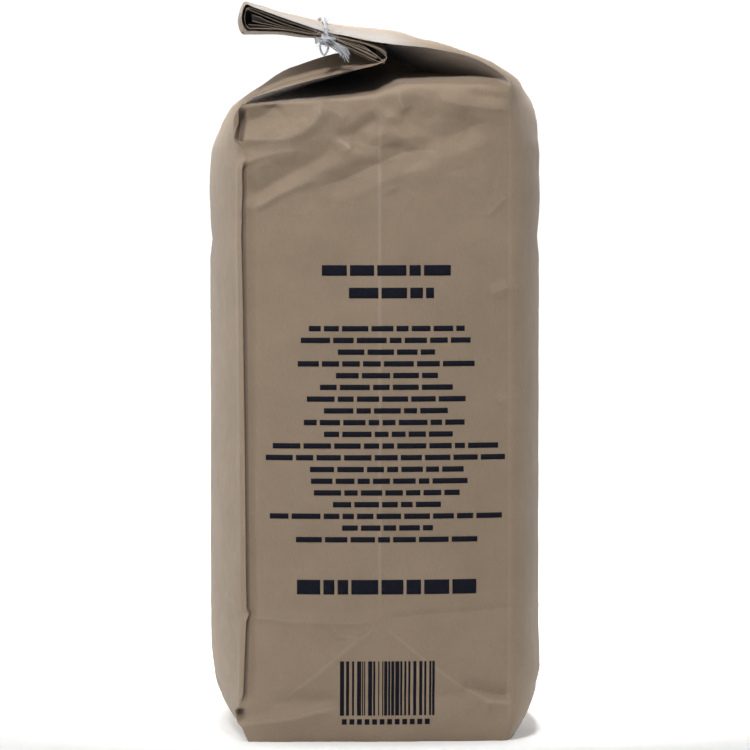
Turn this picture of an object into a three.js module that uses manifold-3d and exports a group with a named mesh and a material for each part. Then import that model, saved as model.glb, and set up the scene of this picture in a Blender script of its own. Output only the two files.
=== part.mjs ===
// A kraft paper flour sack, filled and shut, standing on its flat bottom.
// The tube of the sack has two panels (at -X and +X) and two gusset sides (at -Y and +Y).
// Above the shoulder the gussets tuck inwards, the panels close over them as a roof,
// and the flattened neck folds back over the roof, then under itself, and is tied with twine.
import * as THREE from "three";
import { mergeVertices } from "three/addons/utils/BufferGeometryUtils.js";
import Module from "manifold-3d";

// Driving sizes of the paper, in millimetres
const PANEL_WIDTH = 176;
const GUSSET_WIDTH = 132;
const SHOULDER = 318;
const LEVEL_STEP = 12;
const FOOT_HEIGHT = 12;
const FOOT_INSET = 2.5;

// How far the flour pushes each side out at mid height, and at the foot and the shoulder
const BACK_BULGE = { foot: 1, middle: 16, shoulder: 4 };
const FRONT_BULGE = { foot: 10, middle: 20.5, shoulder: 17 };
const GUSSET_BULGE = { foot: 2, middle: 8, shoulder: 5 };
const SWELLING_HEIGHT = 50;
const SHOULDER_HEIGHT = 38;
const BACK_ROUNDNESS = 0.85;
const FRONT_ROUNDNESS = 0.5;

// The gusset crease is this much higher on the front half than on the back half
const FRONT_CREASE_RISE = GUSSET_WIDTH / 16;
// The tucked gusset climbs this far over the flour by the time it meets the neck
const TUCK_CLIMB = 22;

// Twine
const TWINE_RADIUS = 1;
const TWINE_CLEARANCE = 1.9;
const TWINE_SIDES = 8;

const HALF_PANEL = PANEL_WIDTH / 2;
const HALF_GUSSET = GUSSET_WIDTH / 2;

// The two folds where each panel meets the near gusset, above the shoulder, level by level:
// over the roof, round the first fold, back through the tie, round the rolled end and home.
const TIE_LEVEL = 9;
const NECK_LEVEL = 6;
const backFold = new THREE.SplineCurve([
  [-65, 318], [-60, 321.6], [-41, 327.6], [-19, 333], [-1, 337.2],
  [4.8, 340], [3.8, 343.6], [-4.5, 347.5], [-14, 350], [-25, 352.5],
  [-37, 356.3], [-49, 360.4], [-60, 364.6], [-63.6, 365.2], [-65.2, 360.5],
  [-63.8, 356], [-60, 355.4], [-46, 354.9], [-34, 352.9], [-25, 351.8],
  [-14, 347.5], [-6, 343.7], [0.4, 340.7],
].map(([x, z]) => new THREE.Vector2(x, z)));
const frontFold = new THREE.SplineCurve([
  [66, 318], [67.5, 327], [61, 334], [47, 341.3], [28, 345.6],
  [12, 347.3], [5, 348.1], [-4.4, 349.5], [-14, 351.6], [-25, 353.8],
  [-37.3, 357.7], [-49.4, 361.9], [-60.8, 366], [-64.8, 367.1], [-66.8, 360.7],
  [-64.8, 354.6], [-60, 353.9], [-46, 353.4], [-34.1, 351.4], [-25, 350.4],
  [-14.5, 346.1], [-6.7, 342.4], [-0.3, 339.4],
].map(([x, z]) => new THREE.Vector2(x, z)));
const LEVELS = backFold.points.length - 1;

// How far each panel's middle stands out from its folds, by level: [level, sideways, up]
const BACK_SWELL = [[0, -4, 0], [1, 2, 5], [2, 0, 9.8], [3, 0, 11.5], [4, 0, 9.5], [5, 0, 9]];
const FRONT_SWELL = [[0, 17, 0], [1, 9, 2.5], [2, 2, 5.2], [3, 0, 4.5], [4, 0, 6], [5, 0, 9]];
const NECK_SWELL = [
  [6, 0, 9], [9, 0, 6], [11, 0, 3.7], [13, 0, 2.5],
  [15, 0, 2.5], [17, 0, 3.7], [19, 0, 6], [22, 0, 9],
];

// Heights and levels of the rows of the mesh
const BODY_ROWS = [0, 2, 6, 12, 20, 32, 50, 110, 180, 240, 280, 292, 302, 310];
const NECK_ROWS = [6, 7, 8, 9, 10, 11, 12, 12.5, 13, 13.5, 14, 14.5, 15, 15.5, 16, 17, 18, 19, 20, 21, 22];
const GUSSET_CELLS = 16;
const PANEL_CELLS = 12;

const lerp = THREE.MathUtils.lerp;
const smooth = THREE.MathUtils.smoothstep;

function keyed(keys, level) {
  const last = keys.length - 1;
  if (level <= keys[0][0]) return keys[0].slice(1);
  for (let i = 0; i < last; i++) {
    const [from, to] = [keys[i], keys[i + 1]];
    if (level > to[0]) continue;
    const t = smooth(level, from[0], to[0]);
    return [lerp(from[1], to[1], t), lerp(from[2], to[2], t)];
  }
  return keys[last].slice(1);
}

// A swelling that rounds out quickly above the foot, is full for most of the height
// and eases at the shoulder
function swelling({ foot, middle, shoulder }, height) {
  const left = 1 - Math.min(1, height / SWELLING_HEIGHT);
  const up = lerp(middle, foot, left ** 2.5);
  const near = THREE.MathUtils.clamp(1 - (SHOULDER - height) / SHOULDER_HEIGHT, 0, 1);
  return lerp(up, shoulder, near ** 2.2);
}

const arch = (across, roundness) => Math.pow(Math.max(0, 1 - across * across), roundness);

// A point of the filled body: a runs from the back panel to the front one,
// b from the near gusset to the far one
function bodyPoint(a, b, height) {
  const inset = FOOT_INSET * (1 - Math.sqrt(smooth(height, -1, FOOT_HEIGHT)));
  const back = -(HALF_GUSSET - inset) - swelling(BACK_BULGE, height) * arch(b, BACK_ROUNDNESS);
  const front = HALF_GUSSET - inset + swelling(FRONT_BULGE, height) * arch(b, FRONT_ROUNDNESS);
  const side = HALF_PANEL - inset + swelling(GUSSET_BULGE, height) * arch(a, 1);
  return new THREE.Vector3(lerp(back, front, (a + 1) / 2), b * side, height);
}

// The panels over the roof and along the neck, and the paper between them
function sheetPoint(a, b, level) {
  const t = level / LEVELS;
  const back = backFold.getPoint(t);
  const front = frontFold.getPoint(t);
  const swellBack = keyed([...BACK_SWELL, ...NECK_SWELL], level);
  const swellFront = keyed([...FRONT_SWELL, ...NECK_SWELL], level);
  const crown = arch(b, 0.75);
  const s = (a + 1) / 2;
  const x = lerp(back.x + swellBack[0] * crown, front.x + swellFront[0] * crown, s);
  const z = lerp(back.y + swellBack[1] * crown, front.y + swellFront[1] * crown, s);
  return new THREE.Vector3(x, b * HALF_PANEL, z);
}

// The gusset between its two folds: a flap that lies in over the flour,
// and two wings that rise to the folds
function tuckPoint(a, b, level) {
  const w = level * LEVEL_STEP;
  const late = FRONT_CREASE_RISE * smooth(a, -0.3, 0.5);
  const depth = THREE.MathUtils.clamp(w - late, 0, HALF_GUSSET);
  const reach = 1 - depth / HALF_GUSSET;
  const outward = GUSSET_BULGE.shoulder * arch(a, 1) * (1 - smooth(depth, 0, HALF_GUSSET / 2));
  const climb = TUCK_CLIMB * Math.pow(depth / HALF_GUSSET, 1.5);
  const base = SHOULDER + Math.min(w, late) + climb;
  const y = b * (HALF_PANEL + outward - depth);
  if (Math.abs(a) <= reach) return new THREE.Vector3(a * HALF_GUSSET, y, base);
  const crease = new THREE.Vector3(Math.sign(a) * reach * HALF_GUSSET, y, base);
  const fold = sheetPoint(Math.sign(a), b, level);
  return crease.lerp(fold, (Math.abs(a) - reach) / (1 - reach));
}

// In the neck the gusset is a closing slit between the panels, gone at the tie
function slitPoint(a, b, level) {
  const depth = HALF_GUSSET * (1 - smooth(level, NECK_LEVEL, TIE_LEVEL));
  const inward = 1 - (depth * (1 - Math.abs(a))) / HALF_PANEL;
  return sheetPoint(a, b * inward, level);
}

function sackPoint(a, b, row) {
  if (row.height !== undefined) return bodyPoint(a, b, row.height);
  if (Math.abs(b) < 1 || row.level > TIE_LEVEL) return sheetPoint(a, b, row.level);
  return row.level < NECK_LEVEL ? tuckPoint(a, b, row.level) : slitPoint(a, b, row.level);
}

// The roof rows step as the gusset columns do, so the tuck's creases run through the corners of the cells
function sackRows() {
  const columns = GUSSET_CELLS / 2;
  const step = HALF_GUSSET / (columns * LEVEL_STEP);
  const roof = Array.from({ length: columns + 1 }, (_, i) => i * step);
  const heights = BODY_ROWS.map((height) => ({ height }));
  return [...heights, ...[...roof, ...NECK_ROWS].map((level) => ({ level }))];
}

// Each cell of the box is split from its second corner to its fourth. Where the tuck's crease
// runs the other way the cell is split the other way.
function creasedIndex(box, along) {
  const index = Array.from(box.index.array);
  for (let i = 0; i < index.length; i += 6) {
    const [p, q, s, , r] = index.slice(i, i + 6);
    if (along[p] + along[q] + along[r] + along[s] < -0.01) index.splice(i, 6, p, q, r, p, r, s);
  }
  return index;
}

// The whole sack is a box whose grid is carried to the folded paper
function sackGeometry() {
  const rows = sackRows();
  const box = new THREE.BoxGeometry(2, 2, 1, GUSSET_CELLS, PANEL_CELLS, rows.length - 1);
  const grid = box.getAttribute("position");
  const onGusset = (i) => Math.abs(grid.getY(i)) === 1;
  const alongAt = (_, i) => (onGusset(i) ? grid.getX(i) * grid.getY(i) : 0);
  const along = Array.from({ length: grid.count }, alongAt);
  for (let i = 0; i < grid.count; i++) {
    const row = rows[Math.round((grid.getZ(i) + 0.5) * (rows.length - 1))];
    const p = sackPoint(grid.getX(i), grid.getY(i), row);
    grid.setXYZ(i, p.x, p.y, p.z);
  }
  box.setIndex(creasedIndex(box, along));
  box.computeVertexNormals();
  return box;
}

// A round strand along a smooth line through the points
function strand(points, radius, steps) {
  const path = new THREE.CatmullRomCurve3(points.map((p) => new THREE.Vector3(...p)));
  const section = new THREE.Shape();
  section.absarc(0, 0, radius, 0, 2 * Math.PI);
  return new THREE.ExtrudeGeometry(section, { steps, extrudePath: path, curveSegments: TWINE_SIDES / 2 });
}

// The knot sits in front of the neck's near edge, at the tie
function knotCentre() {
  const top = sheetPoint(1, -1, TIE_LEVEL);
  return [top.x + 0.6, -HALF_PANEL - 5, top.z - 4.4];
}

// Once round the neck, over the top and back underneath, from knot to knot
function twineLoop() {
  const underLevel = LEVELS - 3;
  const over = [];
  const under = [];
  for (let b = -1; b <= 1.001; b += 0.2) {
    const top = sheetPoint(1, b, TIE_LEVEL);
    const bottom = sheetPoint(1, b, underLevel);
    over.push([top.x, top.y, top.z + TWINE_CLEARANCE]);
    under.unshift([bottom.x, bottom.y, bottom.z - TWINE_CLEARANCE]);
  }
  const far = HALF_PANEL + TWINE_CLEARANCE + 0.8;
  const middle = (over.at(-1)[2] + under[0][2]) / 2;
  const near = [over[0][0], -far, middle + 2.2];
  const end = [over[0][0], far, middle];
  return [knotCentre(), near, ...over, end, ...under, [near[0], -far, middle - 2.2], knotCentre()];
}

function twinePieces() {
  const [x, y, z] = knotCentre();
  const knot = new THREE.TorusKnotGeometry(2.1, 1.15, 40, 6, 2, 3);
  knot.rotateY(0.4);
  knot.translate(x, y, z);
  const core = new THREE.SphereGeometry(2.4, 10, 8);
  core.translate(x, y, z);
  const fromKnot = (places) => places.map(([across, out, up]) => [x + across, y + out, z + up]);
  const frayedTail = strand(fromKnot([[0, 0, 0], [4, -1.4, -2], [8, -2, -6], [10.5, -2, -10]]), 1.3, 8);
  const bight = [[0, 0, 0], [-3.2, -1, -1], [-3, -1.4, -5], [-1.4, -1.2, -7.4], [0.6, -1, -4], [0, 0, 0]];
  const hangingBight = strand(fromKnot(bight), 0.6, 16);
  return [strand(twineLoop(), TWINE_RADIUS, 64), knot, core, frayedTail, hangingBight];
}

// Joins closed meshes into one solid
async function joined(geometries) {
  const wasm = await Module();
  wasm.setup();
  const solids = geometries.map((geometry) => {
    const bare = geometry.index ? geometry.toNonIndexed() : geometry.clone();
    bare.deleteAttribute("normal");
    bare.deleteAttribute("uv");
    const merged = mergeVertices(bare, 1e-3);
    return new wasm.Manifold(
      new wasm.Mesh({
        numProp: 3,
        vertProperties: merged.getAttribute("position").array,
        triVerts: new Uint32Array(merged.index.array),
      }),
    );
  });
  const bodies = solids.reduce((sum, solid) => sum.add(solid)).decompose();
  const mesh = bodies.sort((p, q) => q.volume() - p.volume())[0].getMesh();
  const geometry = new THREE.BufferGeometry();
  geometry.setAttribute("position", new THREE.BufferAttribute(mesh.vertProperties, 3));
  geometry.setIndex(new THREE.BufferAttribute(mesh.triVerts, 1));
  geometry.computeVertexNormals();
  return geometry;
}

const kraftPaper = new THREE.MeshStandardMaterial({ color: 0x93806c, roughness: 0.86, metalness: 0 });
const whiteTwine = new THREE.MeshStandardMaterial({ color: 0xd9dadc, roughness: 0.5, metalness: 0 });

const sack = new THREE.Mesh(sackGeometry(), kraftPaper);
sack.name = "paper_sack";

const twine = new THREE.Mesh(await joined(twinePieces()), whiteTwine);
twine.name = "tie_twine";

const flourSack = new THREE.Group();
flourSack.add(sack, twine);

// The origin is under the middle of everything, on the surface that the sack stands on
const extent = new THREE.Box3().setFromObject(flourSack);
const middle = extent.getCenter(new THREE.Vector3());
flourSack.position.set(-middle.x, -middle.y, -extent.min.z);

export default flourSack;
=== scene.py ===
import math
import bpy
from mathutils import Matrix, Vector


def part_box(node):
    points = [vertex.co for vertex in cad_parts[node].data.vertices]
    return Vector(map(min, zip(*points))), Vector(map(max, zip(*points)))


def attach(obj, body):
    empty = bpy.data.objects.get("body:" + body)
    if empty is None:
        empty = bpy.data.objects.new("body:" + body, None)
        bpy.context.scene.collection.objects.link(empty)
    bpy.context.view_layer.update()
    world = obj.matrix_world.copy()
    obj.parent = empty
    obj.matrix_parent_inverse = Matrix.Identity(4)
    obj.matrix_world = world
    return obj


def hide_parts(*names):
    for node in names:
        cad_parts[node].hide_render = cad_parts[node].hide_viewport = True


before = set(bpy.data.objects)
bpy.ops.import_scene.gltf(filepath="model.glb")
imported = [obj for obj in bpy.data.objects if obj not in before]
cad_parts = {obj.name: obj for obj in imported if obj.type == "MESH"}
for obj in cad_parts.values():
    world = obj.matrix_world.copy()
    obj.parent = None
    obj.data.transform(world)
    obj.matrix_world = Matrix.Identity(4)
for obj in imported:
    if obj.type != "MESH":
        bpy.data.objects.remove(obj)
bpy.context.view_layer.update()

from types import SimpleNamespace

import bmesh
import bpy
import numpy as np
from mathutils import Matrix, Vector, noise
from mathutils.bvhtree import BVHTree

# The folded paper, in millimetres. It repeats the values of the solid that it replaces.
MM = 0.001
HALF_PANEL = 88
HALF_GUSSET = 66
SHOULDER = 318
LEVEL_STEP = 12
FOOT_HEIGHT = 12
FOOT_INSET = 2.5
BACK_BULGE = (1, 16, 4)
FRONT_BULGE = (10, 20.5, 17)
GUSSET_BULGE = (2, 8, 5)
SWELLING_HEIGHT = 50
SHOULDER_HEIGHT = 38
BACK_ROUNDNESS = 0.85
FRONT_ROUNDNESS = 0.5
CREASE_SAG = np.array([(-0.7, 0), (-0.35, 0.7), (-0.12, 1.5), (-0.01, 1.9), (0.08, 0.6), (0.17, 0)])
CREASE_RISE = np.array([
    (-1, 0), (-0.7, 1.2), (-0.38, 3), (-0.05, 5.6), (0.18, 8.2), (0.5, 8.3), (0.9, 9.6), (1, 8.25),
])
TUCK_CLIMB = 22
FRONT_CLIMB = np.array([(0, 0), (4, 2.8), (11, 5), (28, 6.8), (42, 8.4), (66, 22)])
NECK_LEVEL = 6
FAR_LIFT = 3.5
TIE_LEVEL = 9
LAST_LEVEL = 22
BACK_FOLD = np.array([
    (-65, 318), (-60, 321.6), (-41, 327.6), (-19, 333), (-1, 337.2), (4.8, 340), (3.8, 343.6),
    (-4.5, 347.5), (-14, 350), (-25, 352.5), (-37, 356.3), (-49, 360.4), (-60, 364.6),
    (-63.6, 365.2), (-65.2, 360.5), (-63.8, 356), (-60, 355.4), (-46, 354.9), (-34, 352.9),
    (-25, 351.8), (-14, 347.5), (-6, 343.7), (0.4, 340.7),
])
FRONT_FOLD = np.array([
    (66, 318), (67.5, 327), (61, 334), (47, 341.3), (28, 345.6), (12, 347.3), (5, 348.1),
    (-4.4, 349.5), (-14, 351.6), (-25, 353.8), (-37.3, 357.7), (-49.4, 361.9), (-60.8, 366),
    (-64.8, 367.1), (-66.8, 360.7), (-64.8, 354.6), (-60, 353.9), (-46, 353.4), (-34.1, 351.4),
    (-25, 350.4), (-14.5, 346.1), (-6.7, 342.4), (-0.3, 339.4),
])
BACK_SWELL = [(0, -4, 0), (1, 2, 5), (2, 0, 9.8), (3, 0, 11.5), (4, 0, 9.5), (5, 0, 9), (6, 0, 9)]
FRONT_SWELL = [(0, 17, 0), (1, 9, 2.5), (2, 2, 5.2), (3, 0, 4.5), (4, 0, 6), (5, 0, 9), (6, 0, 9)]
NECK_SWELL = [
    (6, 0, 9), (9, 0, 6), (11, 0, 3.7), (13, 0, 2.5), (15, 0, 2.5), (17, 0, 3.7), (19, 0, 6), (22, 0, 9),
]
SLIT_DEPTH = 7

# How finely the paper is cut: cells, millimetres, and the steps in from a panel's side
COLUMNS = 60
DEPTH_CELLS = 40
BODY_STEP = 2.0
LEVEL_CUTS = 5
SIDE_STEPS = (0, 1, 2.5, 4.2, 5.2, 6, 6.8, 8)
EDGE_STEPS = np.concatenate([SIDE_STEPS, np.linspace(11, HALF_PANEL, DEPTH_CELLS // 2 - 7)])

# Relief of the paper, in millimetres. A crumple is so many folds to a millimetre, and so high.
SOFTENING_ROUNDS = 14
CREASE_ROUNDING = 0.55
PROUD_SHARE = 0.25  # how much of its height raised relief on a panel keeps
GROOVE_DEPTH = 2.2
PINCH_DEPTH = 3.6
FIN_REACH = (1.5, -0.7, 0)
RIM_INSET = 6
RIM_WIDTH = 0.8
RIM_DEPTH = 0.8
BROAD_CRUMPLE, BROAD_HEIGHT = 0.028, 0.5
FINE_CRUMPLE, FINE_HEIGHT = 0.075, 0.22

# Creases of the near gusset: (places across and up, height, reach above the line, reach below it, line tone).
# Heights under 0 are valleys. A line tone over 0 is a light line of wear and painted highlight, and under 0 a
# dark line of painted shade.
NEAR_CREASES = [
    ([(-68.2, 307.2), (-62.6, 310.3), (-57.1, 313), (-52.7, 317.1), (-49.6, 319.5)], -2.4, 6, 8, -0.5),
    ([(-65.1, 300.8), (-51.5, 300.5), (-43.4, 301.5), (-37.8, 303.8),
      (-32.8, 307.5), (-29.4, 311.8), (-27.3, 319)], 2.2, 10, 5, 0.75),
    ([(-64.5, 290.1), (-54, 292.9), (-45.3, 295.1), (-39, 295.1)], 1.6, 6, 7, 0.55),
    ([(-64.5, 270.2), (-51.5, 278.9), (-39, 285.8), (-27.9, 291.6), (-20.4, 297.8)], -2.6, 9, 6, 0),
    ([(-64.5, 264.9), (-54, 270.2), (-42.8, 276.2), (-29.1, 281.1)], 1, 5, 3, 0.2),
    ([(-19.8, 300.6), (-15.5, 301.3), (-8, 305.6), (1.3, 311.5)], -2.4, 5, 7, 0),
    ([(-26, 315.9), (-20.4, 314), (-15.5, 310.3)], 1, 4, 6, 0.3),
    ([(-19.4, 300.8), (-15.5, 298.3), (-12.7, 295.1)], 1.8, 6, 5, 0.8),
    ([(-28.5, 276.7), (-15.5, 280.4), (-4.3, 285.7), (4.4, 290),
      (14.4, 293.9), (23.1, 294.9), (31.1, 294.9)], -2.8, 7, 9, 0.6),
    ([(-14.2, 300.1), (-5.5, 297.8), (1.9, 296.2), (15.6, 296.6)], -1.5, 6, 5, 0.4),
    ([(9.4, 315.9), (16.8, 309), (28, 302.8), (35.5, 301.8), (44.2, 305.1), (52.2, 309)], -2.8, 12, 9, 0),
    ([(31.1, 324), (33, 320), (41.7, 318.2), (54.1, 316.3), (66.3, 315.8)], 1.6, 5, 8, 0.5),
    ([(3.2, 312.1), (9.4, 311.8), (13.1, 310.9)], 1, 4, 4, 0.4),
    ([(10.6, 326.5), (11.3, 320.2), (13.7, 314)], 1.3, 8, 5, 0.4),
    ([(54.1, 262.8), (59.1, 267.1), (64.7, 272.7)], 0.5, 3, 3, 0.5),
    ([(2.6, 274.2), (9.4, 277.3)], 0.5, 2.5, 2.5, 0.5),
    ([(1.4, 320), (1.4, 61.6)], 0.35, 3, 3, 0.6),
    ([(-65.9, 63.6), (-43.5, 61.1), (-12, 60.4), (1.2, 61.4)], 0.8, 5, 2.5, 0.25),
    ([(1.2, 61.4), (21.1, 63.7), (67.5, 66.6), (78.2, 67.4)], -0.8, 3, 6, 0.25),
    ([(1.2, 59.4), (-13.7, 48.3), (-30.3, 34.2), (-46.8, 21.8)], 0.4, 3, 3, 0.55),
    ([(2.9, 59.1), (22.7, 42.5), (42.6, 27.6), (55.9, 21), (74.1, 17.7)], 0.4, 3, 3, 0.5),
    ([(-22.8, 59.9), (-18.7, 54.1), (-8.7, 52.5)], 0.5, 2.5, 2.5, 0.3),
    ([(-55.1, 20.6), (-35.2, 21), (-18.7, 20.6)], -1.4, 6, 5, 0),
    ([(-70, 8.5), (-41.8, 12.3), (-28.6, 16), (-18.7, 18.5)], 1.7, 4, 6, 0.4),
    ([(-18.7, 23), (14.5, 23.3), (50.9, 23)], -1.2, 6, 6, 0),
    ([(42, 27.6), (50, 25.6), (60.8, 23), (76.6, 23.5)], -2.4, 7, 3.5, 0.3),
    ([(52, 20.5), (67.5, 19.4), (79, 21)], 1.9, 3, 8, 0.35),
    ([(57, 224.5), (62, 226), (66, 228)], 0.9, 4, 5, 0.35),
    ([(60, 170), (66, 172.5)], 0.5, 4, 5, 0.3),
    ([(-52.6, 198.4), (-22.8, 205.8), (3.6, 208.3)], 0.5, 12, 8, 0),
    ([(3.6, 240.7), (31.9, 247), (61.7, 252.6)], 0.5, 14, 12, 0),
    ([(-58, 130), (-30, 138), (0, 134)], 0.4, 12, 14, 0),
    ([(10, 110), (36, 118), (62, 112)], 0.4, 10, 14, 0),
]
# How far the pinched edge beside the near gusset wanders sideways, by height
EDGE_WANDER = [
    (0, 0), (7, -1), (10, -3.2), (16, -4.4), (18, -2.3), (46, -1.1), (60.8, -0.5), (64.4, 1.1),
    (67.4, -0.2), (79, -0.5), (161, -1.2), (221, -2), (253, -2.7), (260, -2.5), (286, -2.2),
    (291.7, 1), (296.7, -0.3),
    (300.4, -4.5), (310, -4.5), (315.3, -3.6), (320, 0), (600, 0),
]
# Soft swells of the two panels: (panel, height, spread, how far out)
OUTLINE_SWELLS = [(-1, 310, 9, 4.2), (1, 311, 9, 2.2), (1, 27, 14, 1.8), (-1, 20, 9, 0.8)]
# Creases of the two panels, laid out as those of the near gusset are
PANEL_CREASES = [
    ([(-88, 227), (-76, 231.5)], 0.9, 4, 5, 0.35),
    ([(-88, 172.5), (-78, 176)], 0.6, 4, 5, 0.3),
    ([(60, 306), (74, 303.4), (88, 300)], 1.5, 5, 6, 0.3),
    ([(62, 287), (76, 289), (88, 290)], 0.7, 4, 5, 0.3),
    ([(60, 73), (74, 70), (88, 64)], 1, 5, 4, 0.3),
    ([(-86, 65), (-30, 62), (30, 63), (60, 66)], 0.6, 4, 3, 0.3),
    ([(-80, 285), (-40, 270), (10, 276), (60, 262)], 1.6, 12, 9, 0.3),
    ([(-60, 300), (-20, 292), (35, 298), (82, 284)], 1.4, 8, 8, 0.3),
    ([(-70, 240), (-20, 252), (40, 246)], -1, 10, 10, 0),
    ([(-82, 30), (-50, 22), (-20, 26)], -1.2, 7, 5, 0),
    ([(20, 24), (55, 20), (84, 28)], -1.2, 6, 6, 0),
    ([(-75, 120), (-60, 180), (-68, 235)], 0.7, 12, 9, 0),
    ([(66, 110), (58, 165), (70, 220)], 0.7, 9, 12, 0),
    ([(-30, 86), (10, 96), (52, 90)], 0.5, 10, 8, 0),
    ([(20, 310), (6, 292), (14, 270)], 1.3, 8, 7, 0.3),
    ([(-24, 312), (-34, 296), (-58, 286)], -1.4, 8, 7, 0),
]


def smoothed(value, low, high):
    """Eases from 0 at low to 1 at high."""
    t = np.clip((value - low) / (high - low), 0, 1)
    return t * t * (3 - 2 * t)


def mixed(a, b, t):
    return a + (b - a) * t


def arch(across, roundness):
    return np.clip(1 - across * across, 0, 1) ** roundness


def along(points, level):
    """Places on the smooth line through the points, one for each level."""
    last = len(points) - 1
    i = np.minimum(np.clip(level, 0, last).astype(int), last - 1)
    t = (np.clip(level, 0, last) - i)[:, None]
    before, here, there, after = (points[np.clip(i + k, 0, last)] for k in (-1, 0, 1, 2))
    out, back = (there - before) / 2, (after - here) / 2
    cubed, squared = 2 * here - 2 * there + out + back, 3 * there - 3 * here - 2 * out - back
    return cubed * t**3 + squared * t**2 + out * t + here


def keyed(keys, level):
    """The sideways and upward swelling at each level, eased from key to key."""
    keys = np.array(keys, float)
    i = np.clip(np.searchsorted(keys[:, 0], level, side="right") - 1, 0, len(keys) - 2)
    t = smoothed(level, keys[i, 0], keys[i + 1, 0])[:, None]
    return mixed(keys[i, 1:], keys[i + 1, 1:], t)


def swelling(bulge, height):
    foot, middle, shoulder = bulge
    low = mixed(middle, foot, (1 - np.clip(height / SWELLING_HEIGHT, 0, 1)) ** 2.5)
    return mixed(low, shoulder, np.clip(1 - (SHOULDER - height) / SHOULDER_HEIGHT, 0, 1) ** 2.2)


def body_places(a, b, height):
    """The filled body, from its flat bottom to the shoulder."""
    inset = FOOT_INSET * (1 - np.sqrt(smoothed(height, -1, FOOT_HEIGHT)))
    back = -(HALF_GUSSET - inset) - swelling(BACK_BULGE, height) * arch(b, BACK_ROUNDNESS)
    front = HALF_GUSSET - inset + swelling(FRONT_BULGE, height) * arch(b, FRONT_ROUNDNESS)
    side = HALF_PANEL - inset + swelling(GUSSET_BULGE, height) * arch(a, 1)
    x = mixed(back, front, (a + 1) / 2)
    x = mixed(x, sheet_places(a, b, np.zeros_like(a))[:, 0], smoothed(height, 296, SHOULDER))
    return np.stack([x, b * side, height], 1)


def far_lift(x):
    """How much the neck's far end is raised, least by the roll."""
    return FAR_LIFT * mixed(1, 0.6, smoothed(-x, 22, 66))


def sheet_places(a, b, level):
    """The panels over the roof and along the neck, and what lies between them."""
    back, front = along(BACK_FOLD, level), along(FRONT_FOLD, level)
    neck = keyed(NECK_SWELL, level)
    low = (level < NECK_LEVEL)[:, None]
    crown = arch(b, 0.75)[:, None]
    s = ((a + 1) / 2)[:, None]
    xz = mixed(back + np.where(low, keyed(BACK_SWELL, level), neck) * crown,
               front + np.where(low, keyed(FRONT_SWELL, level), neck) * crown, s)
    lifted = far_lift(xz[:, 0]) * (b + 1) / 2 * smoothed(level, NECK_LEVEL, NECK_LEVEL + 5)
    return np.stack([xz[:, 0], b * HALF_PANEL, xz[:, 1] + lifted], 1)


def crease_rise(a):
    """How much higher than the shoulder the gusset folds over, from its back edge to its front one."""
    return np.interp(a, *CREASE_RISE.T) - np.interp(a, *CREASE_SAG.T)


def tuck_places(a, b, level):
    """A gusset above the shoulder: a flap in over the flour, and wings that rise to the two folds."""
    w = level * LEVEL_STEP
    late = crease_rise(a)
    depth = np.clip(w - late, 0, HALF_GUSSET)
    reach = 1 - depth / HALF_GUSSET
    outward = GUSSET_BULGE[2] * arch(a, 1) * (1 - smoothed(depth, 0, HALF_GUSSET / 2))
    back_climb = TUCK_CLIMB * (depth / HALF_GUSSET) ** 1.5
    climb = mixed(back_climb, np.interp(depth, *FRONT_CLIMB.T), smoothed(a, -0.3, 0.5))
    base = SHOULDER + np.minimum(w, late) + climb
    y = b * (HALF_PANEL + outward - depth)
    flat = np.stack([a * HALF_GUSSET, y, base], 1)
    crease = np.stack([np.sign(a) * reach * HALF_GUSSET, y, base], 1)
    fold = sheet_places(np.where(a < 0, -1.0, 1.0), b, level)
    t = np.clip((np.abs(a) - reach) / np.maximum(1 - reach, 1e-9), 0, 1)[:, None]
    return np.where((np.abs(a) <= reach)[:, None], flat, mixed(crease, fold, t))


def slit_places(a, b, level):
    """In the neck a gusset is a slit between the panels, deep by the roof and shallow past the tie."""
    deep = mixed(HALF_GUSSET, SLIT_DEPTH, smoothed(level, NECK_LEVEL, TIE_LEVEL))
    within = 1 - np.abs(a)
    inward = deep * mixed(within, smoothed(within, 0.16, 0.5), smoothed(level, NECK_LEVEL, TIE_LEVEL))
    return sheet_places(a, b * (1 - inward / HALF_PANEL), level)


def paper_places(a, b, travel):
    """Where the folded paper carries places of a box: travel is the height, then the way along the folds."""
    level = np.clip((travel - SHOULDER) / LEVEL_STEP, 0, LAST_LEVEL)
    side = np.abs(b) > 1 - 1e-6
    places = sheet_places(a, b, level)
    places = np.where((side & (level < NECK_LEVEL))[:, None], tuck_places(a, b, level), places)
    places = np.where((side & (level >= NECK_LEVEL))[:, None], slit_places(a, b, level), places)
    return np.where((travel < SHOULDER)[:, None], body_places(a, b, np.minimum(travel, SHOULDER)), places)


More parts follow.
